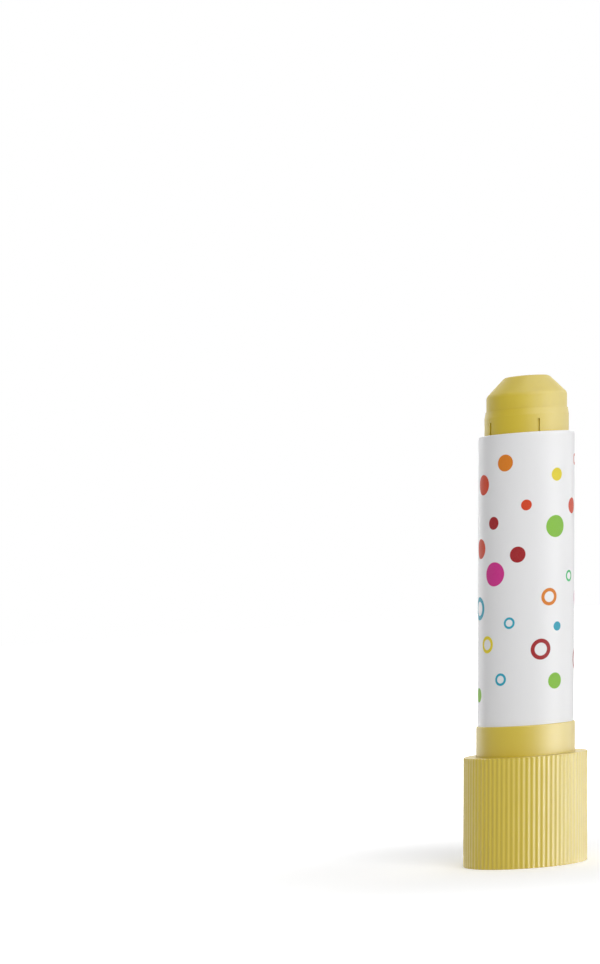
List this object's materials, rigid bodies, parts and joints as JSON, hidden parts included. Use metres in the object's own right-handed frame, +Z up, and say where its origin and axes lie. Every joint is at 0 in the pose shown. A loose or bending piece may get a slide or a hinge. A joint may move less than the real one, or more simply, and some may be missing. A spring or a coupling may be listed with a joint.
{
  "type": "twist crayon",
  "caption": "Chunky gel crayon in a round white barrel; a ribbed knob at the base turns a lead screw that feeds the crayon out of a slitted nose or draws it back in.",
  "frame": {"origin": "middle of the base, in the plane of the knob's bottom rim that the crayon stands on", "axes": "+Z up the crayon's axis to its tip; -Y is the front in the picture; +X to the right seen from the front"},
  "size_m": [0.0226, 0.0226, 0.089],
  "materials": {
    "gel": "satin khaki-yellow gel wax",
    "yellow_plastic": "satin moulded plastic in the crayon's colour",
    "white_plastic": "smooth white moulded plastic",
    "label_film": "glossy white film with a plain dotted print",
    "natural_plastic": "natural uncoloured plastic",
    "rubber": "matt black rubber"
  },
  "bodies": {
    "barrel": {"barrel": "white_plastic", "label": "label_film", "nose_ring": "yellow_plastic", "swivel_collar": "yellow_plastic", "drag_ring": "rubber"},
    "knob": {"twist_knob": "yellow_plastic", "end_plug": "yellow_plastic", "spindle": "natural_plastic"},
    "crayon": {"crayon": "gel", "crayon_cup": "natural_plastic"}
  },
  "joints": [
    {"name": "knob_twist", "type": "hinge", "parent": "barrel", "child": "knob", "pos_m": [0, 0, 0.02], "axis": [0, 0, 1], "range_deg": [-315, 1674]},
    {"name": "crayon_feed", "type": "slide", "parent": "barrel", "child": "crayon", "axis": [0, 0, 1], "range_m": [-0.00701, 0.03721]}
  ],
  "couplings": [
    {"joint": "crayon_feed", "follows": "knob_twist", "m_per_rad": 0.0012732}
  ]
}
